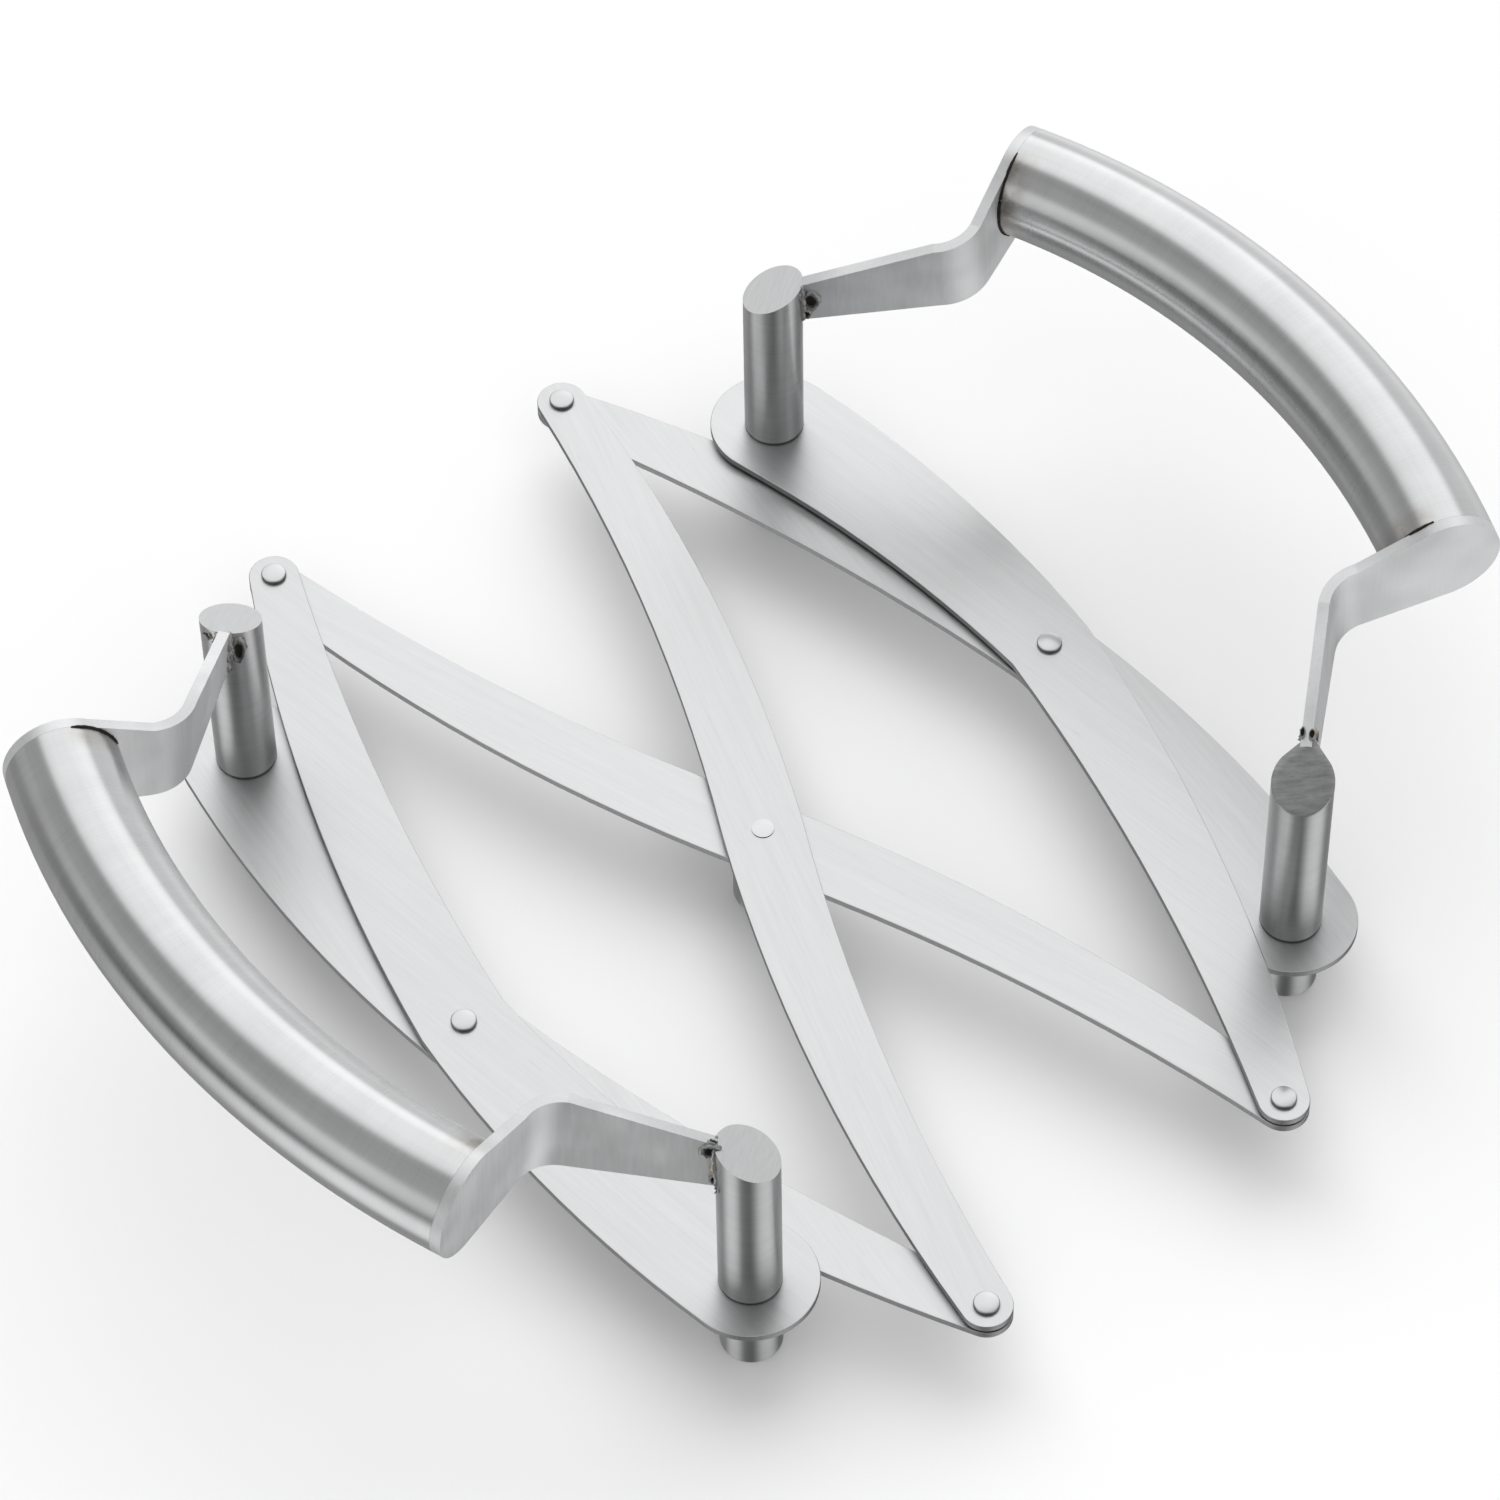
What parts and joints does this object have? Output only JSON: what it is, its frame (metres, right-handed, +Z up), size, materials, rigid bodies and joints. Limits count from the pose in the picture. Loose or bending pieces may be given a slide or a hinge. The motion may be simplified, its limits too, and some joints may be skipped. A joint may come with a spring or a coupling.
{
  "type": "expanding pot trivet",
  "caption": "Expanding trivet and pot carrier: riveted lattice of bowed flat arms, upright posts on round feet, and a curved tube grip at each end.",
  "frame": {"origin": "on the table under the middle rivet, at the centre of the part's box", "axes": "+X from the left grip to the right grip, +Y away from the front rivets, +Z up"},
  "size_m": [0.2776, 0.2324, 0.0863],
  "materials": {
    "centre_arm_upper": "satin, grain along the arm",
    "centre_arm_lower": "satin, grain along the arm",
    "end_arm_left_upper": "satin, grain along the arm",
    "end_arm_left_lower": "satin, grain along the arm",
    "end_arm_right_upper": "satin, grain along the arm",
    "end_arm_right_lower": "satin, grain along the arm",
    "rivet_back_left": "turned, lightly polished",
    "rivet_back_right": "turned, lightly polished",
    "rivet_front_left": "turned, lightly polished",
    "rivet_front_right": "turned, lightly polished",
    "rivet_elbow_left": "turned, lightly polished",
    "rivet_elbow_right": "turned, lightly polished",
    "centre_pin": "turned, lightly polished",
    "centre_foot": "turned, fine rings round the foot",
    "post_left_back": "turned, fine rings round the post",
    "post_left_front": "turned, fine rings round the post",
    "post_right_back": "turned, fine rings round the post",
    "post_right_front": "turned, fine rings round the post",
    "foot_left_back": "turned, fine rings round the foot",
    "foot_left_front": "turned, fine rings round the foot",
    "foot_right_back": "turned, fine rings round the foot",
    "foot_right_front": "turned, fine rings round the foot",
    "bracket_left_back": "brushed strip, ground edges",
    "bracket_left_front": "brushed strip, ground edges",
    "bracket_right_back": "brushed strip, ground edges",
    "bracket_right_front": "brushed strip, ground edges",
    "grip_left": "brushed round the tube, satin",
    "grip_right": "brushed round the tube, satin"
  },
  "bodies": {
    "centre_upper": {"centre_arm_upper": "centre_arm_upper", "rivet_back_right": "rivet_back_right", "rivet_front_left": "rivet_front_left", "centre_pin": "centre_pin", "centre_foot": "centre_foot"},
    "centre_lower": {"centre_arm_lower": "centre_arm_lower", "rivet_back_left": "rivet_back_left", "rivet_front_right": "rivet_front_right"},
    "left_upper": {"end_arm_left_upper": "end_arm_left_upper", "rivet_elbow_left": "rivet_elbow_left"},
    "left_lower": {"end_arm_left_lower": "end_arm_left_lower"},
    "right_upper": {"end_arm_right_upper": "end_arm_right_upper", "rivet_elbow_right": "rivet_elbow_right"},
    "right_lower": {"end_arm_right_lower": "end_arm_right_lower"},
    "left_handle": {"post_left_back": "post_left_back", "post_left_front": "post_left_front", "foot_left_back": "foot_left_back", "foot_left_front": "foot_left_front", "bracket_left_back": "bracket_left_back", "bracket_left_front": "bracket_left_front", "grip_left": "grip_left"},
    "right_handle": {"post_right_back": "post_right_back", "post_right_front": "post_right_front", "foot_right_back": "foot_right_back", "foot_right_front": "foot_right_front", "bracket_right_back": "bracket_right_back", "bracket_right_front": "bracket_right_front", "grip_right": "grip_right"}
  },
  "joints": [
    {"name": "middle_pivot", "type": "hinge", "parent": "centre_upper", "child": "centre_lower", "pos_m": [0, 0, 0.0188], "axis": [0, 0, 1], "range_deg": [-1, 20]},
    {"name": "back_left_pivot", "type": "hinge", "parent": "centre_lower", "child": "left_upper", "pos_m": [-0.03635, 0.11121, 0.0188], "axis": [0, 0, 1], "range_deg": [-20, 1]},
    {"name": "front_left_pivot", "type": "hinge", "parent": "centre_upper", "child": "left_lower", "pos_m": [-0.03635, -0.11121, 0.0188], "axis": [0, 0, 1], "range_deg": [-1, 20]},
    {"name": "back_right_pivot", "type": "hinge", "parent": "centre_upper", "child": "right_lower", "pos_m": [0.03635, 0.11121, 0.0188], "axis": [0, 0, 1], "range_deg": [-1, 20]},
    {"name": "front_right_pivot", "type": "hinge", "parent": "centre_lower", "child": "right_upper", "pos_m": [0.03635, -0.11121, 0.0188], "axis": [0, 0, 1], "range_deg": [-20, 1]},
    {"name": "left_handle_pivot", "type": "hinge", "parent": "left_upper", "child": "left_handle", "pos_m": [-0.0664, -0.0793, 0.0188], "axis": [0, 0, 1], "range_deg": [-0.5, 10]},
    {"name": "right_handle_pivot", "type": "hinge", "parent": "right_upper", "child": "right_handle", "pos_m": [0.0664, 0.0793, 0.0188], "axis": [0, 0, 1], "range_deg": [-0.5, 10]}
  ],
  "couplings": [
    {"joint": "back_left_pivot", "follows": "middle_pivot", "ratio": -1},
    {"joint": "front_left_pivot", "follows": "middle_pivot", "ratio": 1},
    {"joint": "back_right_pivot", "follows": "middle_pivot", "ratio": 1},
    {"joint": "front_right_pivot", "follows": "middle_pivot", "ratio": -1},
    {"joint": "left_handle_pivot", "follows": "middle_pivot", "ratio": 0.5},
    {"joint": "right_handle_pivot", "follows": "middle_pivot", "ratio": 0.5}
  ]
}
